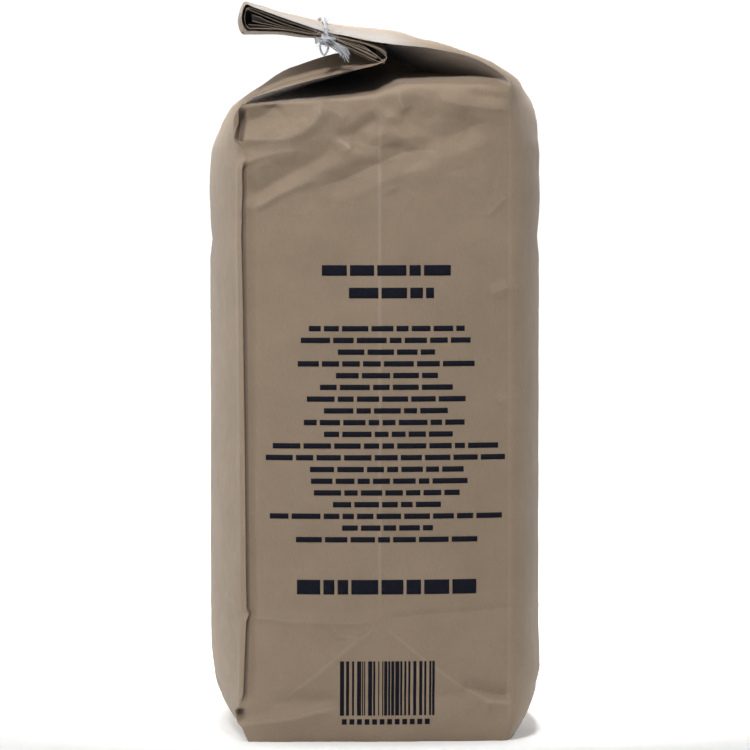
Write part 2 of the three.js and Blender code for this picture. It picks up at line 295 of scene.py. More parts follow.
def crease_relief(across, up, creases):
    """How far creases raise or sink the paper, and how strongly each place takes a crease's light line of
    wear and painted highlight, and its dark line of painted shade.
    """
    relief, ridge_light, valley_shade = (np.zeros_like(across) for _ in range(3))
    for line, height, above, under, line_tone in creases:
        line = np.array(line, float)
        best = np.full(across.shape, 1e9)
        side = np.zeros_like(across)
        way = np.zeros_like(across)
        lengths = np.hypot(*np.diff(line, axis=0).T)
        total = lengths.sum()
        for k, length in enumerate(lengths):
            dx, dz = (line[k + 1] - line[k]) / length
            s = np.clip((across - line[k, 0]) * dx + (up - line[k, 1]) * dz, 0, length)
            ox, oz = across - line[k, 0] - s * dx, up - line[k, 1] - s * dz
            distance = np.hypot(ox, oz)
            nearer = distance < best
            best = np.where(nearer, distance, best)
            side = np.where(nearer, dx * oz - dz * ox, side)
            way = np.where(nearer, (lengths[:k].sum() + s) / total, way)
        reach = np.where(side > 0, above, under)
        ends = smoothed(way, -0.05, 0.15) * (1 - smoothed(way, 0.85, 1.05))
        rounded = np.hypot(best, CREASE_ROUNDING) - CREASE_ROUNDING
        relief += height * ends * np.clip(1 - rounded / reach, 0, 1) ** 1.15
        line_now = ends * np.exp(-(best / 0.7) ** 2)
        # Light lines of wear and painted highlight, and dark lines of painted shade, along the crease.
        ridge_light = np.maximum(ridge_light, line_tone * line_now)
        valley_shade = np.maximum(valley_shade, -line_tone * line_now)
    return relief, ridge_light, valley_shade


def crumple(places, scale, seed):
    """Sharp-edged random relief from -1 to 1, the way handled paper crumples."""
    offset = Vector((seed * 17.3, seed * 5.1, seed * 9.7))
    return np.array([noise.turbulence(Vector(p) * scale + offset, 3, True) for p in places]) * 2 - 1


def boxed_grid(columns, depth, rows, fine_rows):
    """A closed box from -1 to 1 each way, cut into a grid, twice as fine low on its near side."""
    bm = bmesh.new()
    bmesh.ops.create_cube(bm, size=2)
    for axis, cells in ((0, columns), (1, depth), (2, rows)):
        edges = [e for e in bm.edges if abs((e.verts[0].co - e.verts[1].co)[axis]) > 1]
        bmesh.ops.subdivide_edges(bm, edges=edges, cuts=cells - 1, use_grid_fill=True)
    top = fine_rows / rows * 2 - 1
    near = [e for e in bm.edges if all(v.co.y < -0.999 and v.co.z < top + 1e-6 for v in e.verts)]
    bmesh.ops.subdivide_edges(bm, edges=near, cuts=1, use_grid_fill=True)
    return bm


def read_places(mesh):
    places = np.zeros(len(mesh.vertices) * 3)
    mesh.vertices.foreach_get("co", places)
    return places.reshape(-1, 3)


def normals_at(places, mesh):
    """The normals that the mesh has once its vertices lie at the places."""
    mesh.vertices.foreach_set("co", places.ravel())
    mesh.update()
    normals = np.zeros(len(mesh.vertices) * 3)
    mesh.vertex_normals.foreach_get("vector", normals)
    return normals.reshape(-1, 3)


def read_edges(mesh):
    edges = np.zeros(len(mesh.edges) * 2, int)
    mesh.edges.foreach_get("vertices", edges)
    return edges.reshape(-1, 2)


def neighbour_mean(places, edges):
    total = np.zeros_like(places)
    count = np.bincount(edges.ravel(), minlength=len(places))[:, None]
    for k in range(places.shape[1]):
        total[:, k] = np.bincount(edges[:, 0], places[edges[:, 1], k], len(places))
        total[:, k] += np.bincount(edges[:, 1], places[edges[:, 0], k], len(places))
    return total / count


def mesh_of(bm, name):
    mesh = bpy.data.meshes.new(name)
    bm.to_mesh(mesh)
    bm.free()
    return mesh


def row_travels():
    body = np.linspace(0, SHOULDER, int(SHOULDER / BODY_STEP))
    folds = SHOULDER + LEVEL_STEP * np.arange(1, LAST_LEVEL * LEVEL_CUTS + 1) / LEVEL_CUTS
    return np.concatenate([body, folds])


def placed(name, data):
    thing = bpy.data.objects.new(name, data)
    bpy.context.scene.collection.objects.link(thing)
    return thing


def finished(name, mesh, material, smooth_angle=60):
    """A piece with its material, smooth except at its folds, on the one body of the row."""
    piece = placed(name, mesh)
    mesh.materials.clear()
    mesh.materials.append(material)
    mesh.shade_smooth()
    mesh.set_sharp_from_angle(angle=math.radians(smooth_angle))
    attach(piece, "root")
    return piece


def thickened(piece, name, thickness):
    """Gives a piece of open faces a thickness, half to each side, in millimetres."""
    wall = piece.modifiers.new(name, "SOLIDIFY")
    wall.thickness = thickness * MM
    wall.offset = 0


def paper_grid(mesh, travels):
    """Where each place of a boxed grid lies on the paper."""
    grid = read_places(mesh)
    a = mixed(grid[:, 0], np.sin(grid[:, 0] * math.pi / 2), 0.5)
    half_way = np.linspace(0, 1, len(EDGE_STEPS))
    inset = np.interp(1 - np.abs(grid[:, 1]), half_way, EDGE_STEPS)
    b = np.sign(grid[:, 1]) * (1 - inset / HALF_PANEL)
    travel = np.interp((grid[:, 2] + 1) / 2 * (len(travels) - 1), np.arange(len(travels)), travels)
    gusset, panel = np.abs(b) > 1 - 1e-6, np.abs(a) > 1 - 1e-6
    return SimpleNamespace(
        a=a, b=b, travel=travel, level=(travel - SHOULDER) / LEVEL_STEP,
        gusset=gusset, panel=panel, near=gusset & (b < 0), far=gusset & (b > 0),
        from_fold=HALF_GUSSET * (1 - np.abs(a)), from_side=HALF_PANEL * (1 - np.abs(b)),
        from_edge=HALF_GUSSET * (1 + a),
        flap_depth=travel - SHOULDER - np.where(gusset, crease_rise(a), 4),
    )


def softened(places, paper, edges):
    """The places with the paper's folds at the shoulder rounded off."""
    a, gusset, panel, above = paper.a, paper.gusset, paper.panel, paper.travel - SHOULDER
    over_crease = np.exp(-((above - crease_rise(a)) / 7) ** 2)
    softness = np.where(gusset & ~panel, over_crease * mixed(0.15, 0.75, smoothed(a, -0.2, 0.5)), 0)
    softness = softness + np.where(panel & ~gusset, 0.2 * np.exp(-(above / 14) ** 2), 0)
    softness = softness + np.where(panel & gusset & (a > 0), 0.45 * np.exp(-((above - 9) / 9) ** 2), 0)
    for _ in range(SOFTENING_ROUNDS):
        places = mixed(places, neighbour_mean(places, edges), softness[:, None])
    return places


def paper_relief(places, paper):
    """The relief of creased and crumpled paper, and how strongly each place takes the creases' light lines of
    wear and painted highlight and their dark lines of painted shade.
    """
    a, travel = paper.a, paper.travel
    below = 1 - smoothed(paper.flap_depth, -3, 3)
    relief, ridge_light, valley_shade = (np.zeros_like(a) for _ in range(3))
    for where, across, creases in ((paper.near, a * HALF_GUSSET, NEAR_CREASES),
                                   (paper.far, -a * HALF_GUSSET, NEAR_CREASES[3:]),
                                   (paper.panel, paper.b * HALF_PANEL * np.sign(a), PANEL_CREASES)):
        found = crease_relief(across[where], travel[where], creases)
        for whole, part in zip((relief, ridge_light, valley_shade), found):
            whole[where] += part * below[where]
    from_corner = np.minimum(paper.from_fold + 9 * paper.panel, paper.from_side + 9 * paper.gusset)
    fade = smoothed(from_corner, 0, 6)
    rough = (crumple(places * (1, 1, 1.35), BROAD_CRUMPLE, 1) * BROAD_HEIGHT
             + crumple(places, FINE_CRUMPLE, 2) * FINE_HEIGHT)
    lively = smoothed(travel, 225, 300) + 0.7 * (1 - smoothed(travel, 10, 70)) + 0.3
    relief += rough * lively * fade * below * 0.9
    roof = smoothed(travel, SHOULDER, SHOULDER + 8) * (1 - smoothed(travel, SHOULDER + 60, SHOULDER + 72))
    relief += rough * roof * fade * 0.6
    return relief, ridge_light, valley_shade


def pinched_edge(paper):
    """The fin along the near gusset's back edge, the groove beside it, its pinches, and how it wanders."""
    from_edge, travel = paper.from_edge, paper.travel
    along_edge = smoothed(travel, 19, 24) * (1 - smoothed(travel, 286, 290))
    wander = np.interp(travel, *np.array(EDGE_WANDER).T)
    groove = smoothed(from_edge, 0.5, 1.1) * (1 - smoothed(from_edge, 2.0, 8)) * along_edge
    pinch = smoothed(-wander, 2.9, 4.3) * smoothed(from_edge, 0.1, 0.9) * (1 - smoothed(from_edge, 1.6, 3.8))
    pinch *= np.maximum(travel > 290, travel < 40)
    fin = np.where(paper.near, np.exp(-(from_edge / 0.9) ** 2), 0) * along_edge
    return SimpleNamespace(wander=wander, groove=groove, pinch=pinch, fin=fin)


def rim_of(paper):
    """The shallow line that runs beside the edge of the back panel's roof."""
    over_roof = smoothed(paper.level, 0.2, 0.8) * (1 - smoothed(paper.level, 4.6, 5.4))
    over_roof = over_roof * paper.panel * (paper.a < 0)
    return over_roof * np.exp(-((paper.from_side - RIM_INSET) / RIM_WIDTH) ** 2)


def store_shades(mesh, paper, places, edge, rim, ridge_light, valley_shade, concave_shade):
    """Where the paper is lightened by wear and painted highlight, paled by dust and painted highlight, and
    darkened by painted shade in its hollows and painted deep shade where it is tucked out of the light, from
    0 to 1.
    """
    a, level, flap_depth, gusset, panel = paper.a, paper.level, paper.flap_depth, paper.gusset, paper.panel
    concave_shade = concave_shade * 0.6 * (np.abs(a) < 0.995)
    wing = np.abs(a) > 1 - np.clip(flap_depth, 0, HALF_GUSSET) / HALF_GUSSET + 0.01
    # The paper is made lighter along crease lines, by wear and by painted highlight, and down the gussets'
    # right corners, and less where painted shade darkens its hollows.
    corner = 0.4 * (gusset & panel & (a > 0)) * (paper.travel < SHOULDER)
    # Painted light on the right half of the near flap, which the fold above keeps from the lamps.
    lit_flap = 0.75 * paper.near * smoothed(a, -0.1, 0.25) * smoothed(flap_depth, 1, 8) * (paper.travel < 400)
    store(mesh, "wear_and_painted_light", np.clip(ridge_light - concave_shade + corner + lit_flap * ~wing, 0, 1))

    # Painted shade: dark lines in the crease valleys, beside the roof's rim line, in hollow places, and in
    # the groove and pinches beside the near edge.
    edge_shade = np.where(paper.near, edge.pinch + 0.8 * edge.groove * (paper.from_edge < 2.6), 0)
    store(mesh, "painted_hollow_shade", np.clip(valley_shade + 0.8 * rim + concave_shade + edge_shade, 0, 1))

    across = places[:, 0]
    # Dust and painted highlight pale the roof panel's top by the neck, most near its edges, and painted light
    # pales the tucked paper in the pocket.
    dust_and_painted_light = panel * (a > 0) * smoothed(level, 3.5, 6) * (1 - smoothed(level, 11.5, 14))
    dust_and_painted_light = dust_and_painted_light * mixed(1, 0.25, smoothed(paper.from_side, 0, 45))
    pocket_light = smoothed(flap_depth, 1, 6) * (level < NECK_LEVEL) * gusset
    dust_and_painted_light = dust_and_painted_light + pocket_light * (1 - smoothed(across, -60, -15) + 0.4 * wing * smoothed(across, 10, 38))
    store(mesh, "dust_and_painted_light", dust_and_painted_light)

    # Painted deep shade, navy: in the pocket under the fold over the flap and its wings, down the neck's
    # slits, inside the roll past the tie, and a little along the rim line.
    flap_shade = smoothed(flap_depth, 4, 36) * (1 - smoothed(a, -0.25, 0.3))
    wing_shade = mixed(np.where(a < 0, 0.6, 0.5), 1, smoothed(flap_depth, 8, 48))
    off_fold = smoothed(paper.from_fold, 0.5, 1.6)
    pocket_shade = np.where(wing, off_fold * smoothed(flap_depth, 1, 4) * wing_shade, flap_shade)
    pocket_shade *= mixed(0.1, 1, smoothed(across, -58, -18) * (1 - smoothed(across, 0, 42)))
    slit_shade = smoothed(1 - np.abs(a), 0.1, 0.35) * smoothed(level, NECK_LEVEL, NECK_LEVEL + 1)
    roll_shade = smoothed(level, TIE_LEVEL, 12) * (a < 0) * smoothed(paper.from_side, 0.5, 6)
    gusset_shade = np.where(level < NECK_LEVEL, pocket_shade, slit_shade)
    store(mesh, "painted_deep_shade", np.where(gusset, gusset_shade, roll_shade * panel + 0.2 * rim))


def folded_sack():
    """The sack's paper as one closed mesh, in metres, with its creases, its wear, and its painted light and
    shade.
    """
    travels = row_travels()
    fine_rows = np.searchsorted(travels, SHOULDER + NECK_LEVEL * LEVEL_STEP)
    mesh = mesh_of(boxed_grid(COLUMNS, DEPTH_CELLS, len(travels) - 1, fine_rows), "folded_sack")
    paper = paper_grid(mesh, travels)
    a, b, near, panel = paper.a, paper.b, paper.near, paper.panel
    edges = read_edges(mesh)
    places = softened(paper_places(a, b, paper.travel), paper, edges)

    normals = normals_at(places, mesh)
    edge, rim = pinched_edge(paper), rim_of(paper)
    relief, ridge_light, valley_shade = paper_relief(places, paper)
    relief -= np.where(near, GROOVE_DEPTH * edge.groove + PINCH_DEPTH * edge.pinch, 0)
    relief -= RIM_DEPTH * rim
    relief = np.where(panel, np.minimum(relief, PROUD_SHARE * relief), relief)
    places = places + normals * relief[:, None]
    places += edge.fin[:, None] * FIN_REACH
    for side, height, spread, out in OUTLINE_SWELLS:
        swell = np.exp(-((paper.travel - height) / spread) ** 2) * arch(b, 0.4)
        places[:, 0] += (panel & (a * side > 0)) * side * out * swell
    near_edge = np.where(near, paper.from_edge, np.where(panel & (a < 0), HALF_PANEL * (1 + b), 99))
    places[:, 0] += edge.wander * np.exp(-(near_edge / 5) ** 2)
    places[:, 2] = np.maximum(places[:, 2], 0)

    # How hollow each place is, for painted shade in the hollows.
    concave_shade = mean_curve(places, mesh, edges)
    mesh.vertices.foreach_set("co", (places * MM).ravel())
    mesh.update()
    store_shades(mesh, paper, places, edge, rim, ridge_light, valley_shade, concave_shade)
    return mesh


def mean_curve(places, mesh, edges):
    """How far each place lies below the mean of its neighbours, along its normal, in millimetres."""
    curve = ((neighbour_mean(places, edges) - places) * normals_at(places, mesh)).sum(1)[:, None]
    return mixed(curve, neighbour_mean(curve, edges), 0.6)[:, 0]


def store(mesh, name, values):
    layer = mesh.attributes.new(name, "FLOAT", "POINT")
    layer.data.foreach_set("value", np.asarray(values, float))


# Materials

KRAFT_DARK = (0.236, 0.175, 0.119, 1)
KRAFT_LIGHT = (0.272, 0.203, 0.14, 1)
DARK_FLECK = (0.175, 0.122, 0.082, 1)
PALE_FIBRE = (0.40, 0.325, 0.25, 1)
# Tones laid over the kraft: wear and painted highlight, dust and painted highlight, painted shade in hollows,
# and navy painted shade deep in the pockets.
WEAR_AND_HIGHLIGHT_KRAFT = (0.42, 0.35, 0.28, 1)
DUST_AND_HIGHLIGHT_TONE = (0.56, 0.54, 0.52, 1)
HOLLOW_SHADE_KRAFT = (0.11, 0.08, 0.065, 1)
DEEP_SHADE_NAVY = (0.03, 0.036, 0.07, 1)
INK_BLUE = (0.006, 0.007, 0.014, 1)
INK_THIN = (0.03, 0.026, 0.026, 1)
TWINE_SHADE = (0.40, 0.41, 0.44, 1)
TWINE_LIGHT = (0.53, 0.54, 0.57, 1)


def shader(name):
    """A new material: itself, its nodes, its surface and the coordinates that ride on the piece."""
    material = bpy.data.materials.new(name)
    material.use_nodes = True
    tree = material.node_tree
    place = node(tree, "ShaderNodeTexCoord").outputs["Object"]
    return material, tree, tree.nodes["Principled BSDF"], place


def set_inputs(tree, made, values):
    """Sets a node's inputs to values, or joins them to other nodes' outputs."""
    for key, value in values.items():
        if isinstance(value, bpy.types.NodeSocket):
            tree.links.new(value, made.inputs[key])
        else:
            made.inputs[key].default_value = value


def node(tree, kind, values=None, **settings):
    made = tree.nodes.new(kind)
    for key, value in settings.items():
        setattr(made, key, value)
    set_inputs(tree, made, values or {})
    return made


def blended(tree, factor, first, second):
    made = node(tree, "ShaderNodeMix", {"Factor": factor}, data_type="RGBA", blend_type="MIX")
    set_inputs(tree, made, {6: first, 7: second})
    return made.outputs[2]


def ranged(tree, value, low, high, to_low=0.0, to_high=1.0):
    """The value carried from one range to another, and held at its ends."""
    span = {"Value": value, "From Min": low, "From Max": high, "To Min": to_low, "To Max": to_high}
    return node(tree, "ShaderNodeMapRange", span).outputs["Result"]


def sized(tree, place, scale):
    """Object coordinates stretched by scale, so a pattern runs with the paper's grain."""
    return node(tree, "ShaderNodeMapping", {"Vector": place, "Scale": scale}).outputs["Vector"]


def noise_at(tree, place, scale, detail, roughness):
    values = {"Vector": place, "Scale": scale, "Detail": detail, "Roughness": roughness}
    return node(tree, "ShaderNodeTexNoise", values).outputs["Fac"]


def carried(tree, name):
    """A value from 0 to 1 that the mesh carries at each of its places."""
    return node(tree, "ShaderNodeAttribute", attribute_name=name).outputs["Fac"]


def bumped(tree, height, strength, distance, **under):
    values = {"Height": height, "Strength": strength, "Distance": distance, **under}
    return node(tree, "ShaderNodeBump", values).outputs["Normal"]


def kraft_paper():
    material, tree, surface, place = shader("kraft_paper")
    clouds = noise_at(tree, place, 38, 5, 0.62)
    flecks = noise_at(tree, sized(tree, place, (1, 1, 0.35)), 1500, 3, 0.7)
    crinkle = noise_at(tree, place, 120, 6, 0.66)
    cells = {"Vector": sized(tree, place, (1, 1, 0.16)), "Scale": 900, "Randomness": 1}
    fibres = node(tree, "ShaderNodeTexVoronoi", cells, feature="F1").outputs["Distance"]
    colour = blended(tree, ranged(tree, clouds, 0.3, 0.7), KRAFT_DARK, KRAFT_LIGHT)
    colour = blended(tree, ranged(tree, flecks, 0.52, 0.75, 0, 0.35), colour, DARK_FLECK)
    colour = blended(tree, ranged(tree, fibres, 0.0, 0.22, 0.22, 0), colour, PALE_FIBRE)
    # Wear and painted highlight, dust and painted highlight, painted shade and painted deep shade, each laid
    # over the paper's own colour.
    for shade, low, most, tone in (("wear_and_painted_light", 0.05, 0.4, WEAR_AND_HIGHLIGHT_KRAFT), ("dust_and_painted_light", 0, 0.65, DUST_AND_HIGHLIGHT_TONE),
                                   ("painted_hollow_shade", 0.05, 0.75, HOLLOW_SHADE_KRAFT), ("painted_deep_shade", 0, 0.85, DEEP_SHADE_NAVY)):
        colour = blended(tree, ranged(tree, carried(tree, shade), low, 1, 0, most), colour, tone)
    grain = node(tree, "ShaderNodeMath", {0: flecks, 1: fibres}, operation="ADD").outputs[0]
    fine = bumped(tree, grain, 0.22, 0.00012)
    set_inputs(tree, surface, {
        "Base Color": colour, "Roughness": ranged(tree, crinkle, 0.3, 0.7, 0.66, 0.82),
        "Specular IOR Level": 0.45, "Sheen Weight": 0.08, "Sheen Roughness": 0.5,
        "Normal": bumped(tree, crinkle, 0.35, 0.0012, Normal=fine),
    })
    return material


def printed_ink():
    material, tree, surface, place = shader("printed_ink")
    wear_and_painted_light = noise_at(tree, place, 700, 4, 0.7)
    set_inputs(tree, surface, {
        "Base Color": blended(tree, ranged(tree, wear_and_painted_light, 0.5, 0.8, 0, 0.4), INK_BLUE, INK_THIN),
        "Roughness": 0.85, "Specular IOR Level": 0.12, "Normal": bumped(tree, wear_and_painted_light, 0.15, 0.0001),
    })
    return material


def white_twine():
    material, tree, surface, place = shader("white_twine")
    streaks = noise_at(tree, place, 2600, 3, 0.6)
    set_inputs(tree, surface, {
        "Base Color": blended(tree, ranged(tree, streaks, 0.35, 0.7), TWINE_SHADE, TWINE_LIGHT),
        "Roughness": 0.38, "Subsurface Weight": 0.25, "Subsurface Radius": (0.002, 0.002, 0.002),
        "Subsurface Scale": 1.0, "Normal": bumped(tree, streaks, 0.3, 0.0002),
    })
    return material


# The sack, its materials, and the shift from the folds' own middle to the row's frame

KRAFT = kraft_paper()
INK = printed_ink()
TWINE = white_twine()

sack_mesh = folded_sack()
low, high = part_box("paper_sack")
fold_middle = (FRONT_BULGE[1] - BACK_BULGE[1]) / 2 * MM
shift = Vector(((low.x + high.x) / 2, (low.y + high.y) / 2, 0))
shift.x -= fold_middle
sack_mesh.transform(Matrix.Translation(shift))
sack = finished("paper_sack_folded", sack_mesh, KRAFT, 55)
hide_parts("paper_sack")
sack_tree = BVHTree.FromPolygons([v.co for v in sack_mesh.vertices], [p.vertices for p in sack_mesh.polygons])


def on_near_side(across, up):
    """The place where a line from the front meets the sack's near side, in metres."""
    start = Vector((across * MM + shift.x, -1, up * MM))
    return sack_tree.ray_cast(start, Vector((0, 1, 0)))[0]


# The layers of paper folded inside the neck, seen edge on, as lines of places across and up

PAPER = 0.34
PLEAT_INSET = 0.4
PLEAT_STEP = 0.35
PLEAT_WAVE = 0.25
PLEAT_PLACES = 40
TAB_PLACES = 24
NECK_PLEATS = [
    [(-21.8, 352.2), (-13.5, 349.7), (-5.2, 347.6), (-1.1, 346.0), (3.1, 343.5), (5.1, 341.0), (3.5, 338.1)],
    [(-21.8, 350.8), (-13.5, 348.3), (-6.0, 345.5), (-1.9, 343.6), (1.0, 341.4), (2.7, 339.7), (0.8, 338.8)],
    [(-20.9, 351.6), (-13.5, 349.1), (-6.0, 346.4), (-2.7, 344.3)],
    [(-20.1, 350.3), (-13.5, 347.8), (-7.7, 345.5), (-4.0, 343.6)],
    [(-19.3, 349.6), (-14.3, 347.6), (-9.3, 345.4)],
    [(-18.5, 348.0), (-11.8, 344.3), (-5.2, 341.0), (0.6, 338.1)],
    [(-17.6, 348.6), (-10.2, 344.5), (-2.7, 341.0), (1.6, 338.8)],
]
ROLL_PLEATS = [
    [(-64.8, 365.5), (-54.9, 361.4), (-46.6, 358.0), (-34.2, 354.2), (-26.7, 352.4)],
    [(-61.7, 362.2), (-57.4, 360.9), (-53.6, 359.0), (-44.1, 355.9), (-31.7, 352.7)],
    [(-61.5, 359.2), (-57.4, 358.2), (-53.6, 357.5), (-43.3, 355.1), (-31.7, 352.4)],
    [(-63.5, 357.4), (-58.2, 357.0), (-53.6, 356.4), (-42.5, 354.2), (-31.7, 352.1)],
    [(-64.7, 354.9), (-60.7, 355.2), (-54.9, 355.6), (-44.1, 354.3), (-31.7, 352.0)],
]
# Loose tabs of paper in the roll, and the wall behind them, each from an upper line to a lower one
TABS = [
    ([(-61.7, 362.0), (-57.4, 360.7), (-53.6, 358.9)], [(-61.3, 359.3), (-57.4, 358.4), (-53.6, 357.8)]),
    ([(-63.4, 357.3), (-58.2, 356.9), (-53.6, 356.3)], [(-63.4, 355.6), (-58.2, 355.7), (-53.6, 355.6)]),
]
ROLL_WALL = (
    [(-64.8, 365.7), (-54.9, 361.5), (-46.6, 358.0), (-34.2, 354.3), (-28.4, 352.8)],
    [(-64.6, 355.0), (-58, 355.2), (-54.9, 355.4), (-44.1, 354.1), (-30.0, 351.8)],
)


def smooth_path(points, count):
    """Evenly stepped places on the smooth line through the points."""
    return along(np.array(points, float), np.linspace(0, len(points) - 1, count))


def add_sheet(bm, first, second, across, down):
    """A grid of paper from one edge line to another, where each line is a list of places in millimetres."""
    within = bm.verts.layers.float.get("within") or bm.verts.layers.float.new("within")
    made = bmesh.ops.create_grid(bm, x_segments=across, y_segments=down, size=0.5)["verts"]
    for vert in made:
        k, t = round((vert.co.x + 0.5) * across), (vert.co.y + 0.5) ** 2
        here, there = np.array(first[k]), np.array(second[k])
        vert.co = Vector(mixed(here, there, t)) * MM + shift
        vert[within] = np.linalg.norm(there - here) * t


def neck_pleats(side):
    """The paper folded into one end of the neck: side is -1 at the near gusset and 1 at the far one."""
    bm = bmesh.new()
    for lines, depth in ((NECK_PLEATS, 9), (ROLL_PLEATS, 13)):
        for number, line in enumerate(lines):
            wave = PLEAT_WAVE * np.sin(np.linspace(0, 7, PLEAT_PLACES) + number)
            reach = HALF_PANEL - PLEAT_INSET - PLEAT_STEP * number - np.abs(wave)
            outer = [(x, side * y, z) for (x, z), y in zip(smooth_path(line, PLEAT_PLACES), reach)]
            inner = [(x, y - side * depth, z) for x, y, z in outer]
            add_sheet(bm, outer, inner, PLEAT_PLACES - 1, 6)
    for ends, depth in ((TABS[0], 3.2), (TABS[1], 4.2), (ROLL_WALL, 14)):
        y = side * (HALF_PANEL - depth)
        edges = [[(x, y, z) for x, z in smooth_path(line, TAB_PLACES)] for line in ends]
        add_sheet(bm, *edges, TAB_PLACES - 1, 4)
    mesh = mesh_of(bm, "neck_pleats")
    places = (read_places(mesh) - np.array(shift)) / MM
    inward = HALF_PANEL - np.abs(places[:, 1])
    tie = smoothed(places[:, 0], -34, -22)
    within = np.zeros(len(mesh.vertices))
    mesh.attributes["within"].data.foreach_get("value", within)
    # Painted highlight along the layers' outer edges, and painted shade deeper in and away from the tie.
    lit_edge = (1 - smoothed(within, 0.1, 0.8)) * mixed(0.35, 1, tie)
    store(mesh, "wear_and_painted_light", lit_edge * mixed(1, 0.4, smoothed(inward, 0.8, 3)))
    store(mesh, "painted_deep_shade", mixed(0.35, 0, tie) + smoothed(within, 0.15, 1.2) * mixed(0.55, 1, tie))
    places[:, 2] += (side > 0) * far_lift(places[:, 0]) * smoothed(-places[:, 0], 0, 30)
    mesh.vertices.foreach_set("co", (places * MM + np.array(shift)).ravel())
    return mesh


for name, side in (("neck_pleats_near", -1), ("neck_pleats_far", 1)):
    pleats = finished(name, neck_pleats(side), KRAFT, 40)
    thickened(pleats, "ply", PAPER)


# The twine: plies laid round each other, a knot of rings, a bight, a frayed tail and loose fibres

TWINE_CLEARANCE = 1.9
UNDER_LEVEL = 19
SIDEWAYS = (0.12, 0.3, 0.95)  # the direction that gives every strand its sides
TINY = 1e-9
LOOP_PLACES = 260
KNOT_RINGS = 7
BIGHT = [(0, 0, 0), (-3.2, -1, -1), (-3.4, -1.4, -4.6), (-1.6, -1.2, -7.2), (0.4, -1, -4), (0, 0, 0)]
TAIL = [(0, 0, 0), (4, -1.4, -2), (7.6, -2, -5.6), (10, -2, -9.6)]
TAIL_FIBRES = 46
TAIL_PLACES = 26
LOOSE_FIBRES = 120
LOOSE_PLACES = 9
FARTHEST_OUT = 11.5


def beside_path(path):
    """Two directions square to the path, and to each other, at each of its places."""
    way = np.gradient(path, axis=0)
    way /= np.linalg.norm(way, axis=1)[:, None] + TINY
    beside = np.cross(way, SIDEWAYS)
    beside /= np.linalg.norm(beside, axis=1)[:, None] + TINY
    return beside, np.cross(way, beside)


def tube(bm, path, radius, sides):
    """A round strand along the path; the radius may change from place to place."""
    beside, above = beside_path(path)
    radii = np.broadcast_to(radius, len(path))
    made = bmesh.ops.create_grid(bm, x_segments=len(path) - 1, y_segments=sides, size=0.5)["verts"]
    for vert in made:
        k = round((vert.co.x + 0.5) * (len(path) - 1))
        turn = (vert.co.y + 0.5) * 2 * math.pi
        round_it = beside[k] * math.cos(turn) + above[k] * math.sin(turn)
        vert.co = Vector(path[k] + round_it * radii[k]) * MM + shift
    bmesh.ops.remove_doubles(bm, verts=made, dist=1e-7)


def laid_plies(bm, path, plies, apart, reach, turns, radius, sides):
    """Plies that wind about the path, each turned by the same angle past the one before it."""
    beside, above = beside_path(path)
    for ply in range(plies):
        turn = np.linspace(0, turns * 2 * math.pi, len(path)) + ply * apart
        wound = np.cos(turn)[:, None] * beside + np.sin(turn)[:, None] * above
        tube(bm, path + reach * wound, radius, sides)


def twine_loop(knot):
    """Once round the neck, over the top and back underneath, from knot to knot."""
    b = np.linspace(-1, 1, 11)
    front = np.ones(len(b))
    over = sheet_places(front, b, TIE_LEVEL * front) + (0, 0, TWINE_CLEARANCE)
    under = sheet_places(front, b[::-1], UNDER_LEVEL * front) - (0, 0, TWINE_CLEARANCE)
    far = HALF_PANEL + TWINE_CLEARANCE + 0.8
    middle = (over[0, 2] + under[-1, 2]) / 2
    lifted = (over[-1, 2] + under[0, 2]) / 2
    return [knot, (over[0, 0], -far, middle + 2.2), *over, (over[-1, 0], far, lifted), *under,
            (over[0, 0], -far, middle - 2.2), knot]


def add_knot(bm, knot, chance):
    """Rings tilted at random about one place."""
    for _ in range(KNOT_RINGS):
        tilt = chance.normal(size=3)
        first = np.cross(tilt, (0, 0, 1)) / np.linalg.norm(np.cross(tilt, (0, 0, 1)))
        second = np.cross(tilt, first) / np.linalg.norm(np.cross(tilt, first))
        wide = chance.uniform(2.2, 3.6)
        ring = [knot + wide * (math.cos(t) * first * 1.25 + math.sin(t) * second * 0.9)
                + chance.normal(0, 0.4, 3) for t in np.linspace(0, 2 * math.pi, 6, endpoint=False)]
        line = smooth_path([*ring, ring[0], ring[1]], 44)
        laid_plies(bm, line, plies=3, apart=2.1, reach=0.3, turns=5, radius=0.26, sides=5)


def add_frayed_tail(bm, knot, chance):
    """Fibres that leave the knot together and spread towards their ends."""
    spread = np.linspace(0, 1, TAIL_PLACES)[:, None] ** 1.6
    for number in range(TAIL_FIBRES):
        side = chance.normal(0, 1.5, 3) * (1, 0.5, 0.8)
        length = chance.uniform(0.6, 1.06)
        line = along(knot + np.array(TAIL), np.linspace(0, 3 * min(length, 1), TAIL_PLACES)) + side * spread
        wave = 0.28 * np.sin(np.linspace(0, chance.uniform(8, 18), TAIL_PLACES) + number)[:, None]
        tube(bm, line + wave * (0.7, 0.3, 0.6), np.linspace(0.3, 0.12, TAIL_PLACES), 4)


def add_loose_fibres(bm, knot, loop, chance):
    """Short hairs that stand off the knot, and off the loop beside it."""
    t = np.linspace(0, 1, LOOSE_PLACES)[:, None]
    for number in range(LOOSE_FIBRES):
        if number % 3:
            start = knot + chance.normal(0, 2.0, 3)
        else:
            start = loop[chance.integers(6, 40)] + chance.normal(0, 0.5, 3)
        ahead = chance.normal(0, 1, 3) * (1, 0.6, 0.7)
        bend = chance.normal(0, 1, 3)
        hair = start + ahead * t * 2.1 + bend * t * t * 1.3
        hair[:, 1] = np.maximum(hair[:, 1], -HALF_PANEL - FARTHEST_OUT)
        tube(bm, hair, np.linspace(0.1, 0.06, LOOSE_PLACES), 3)


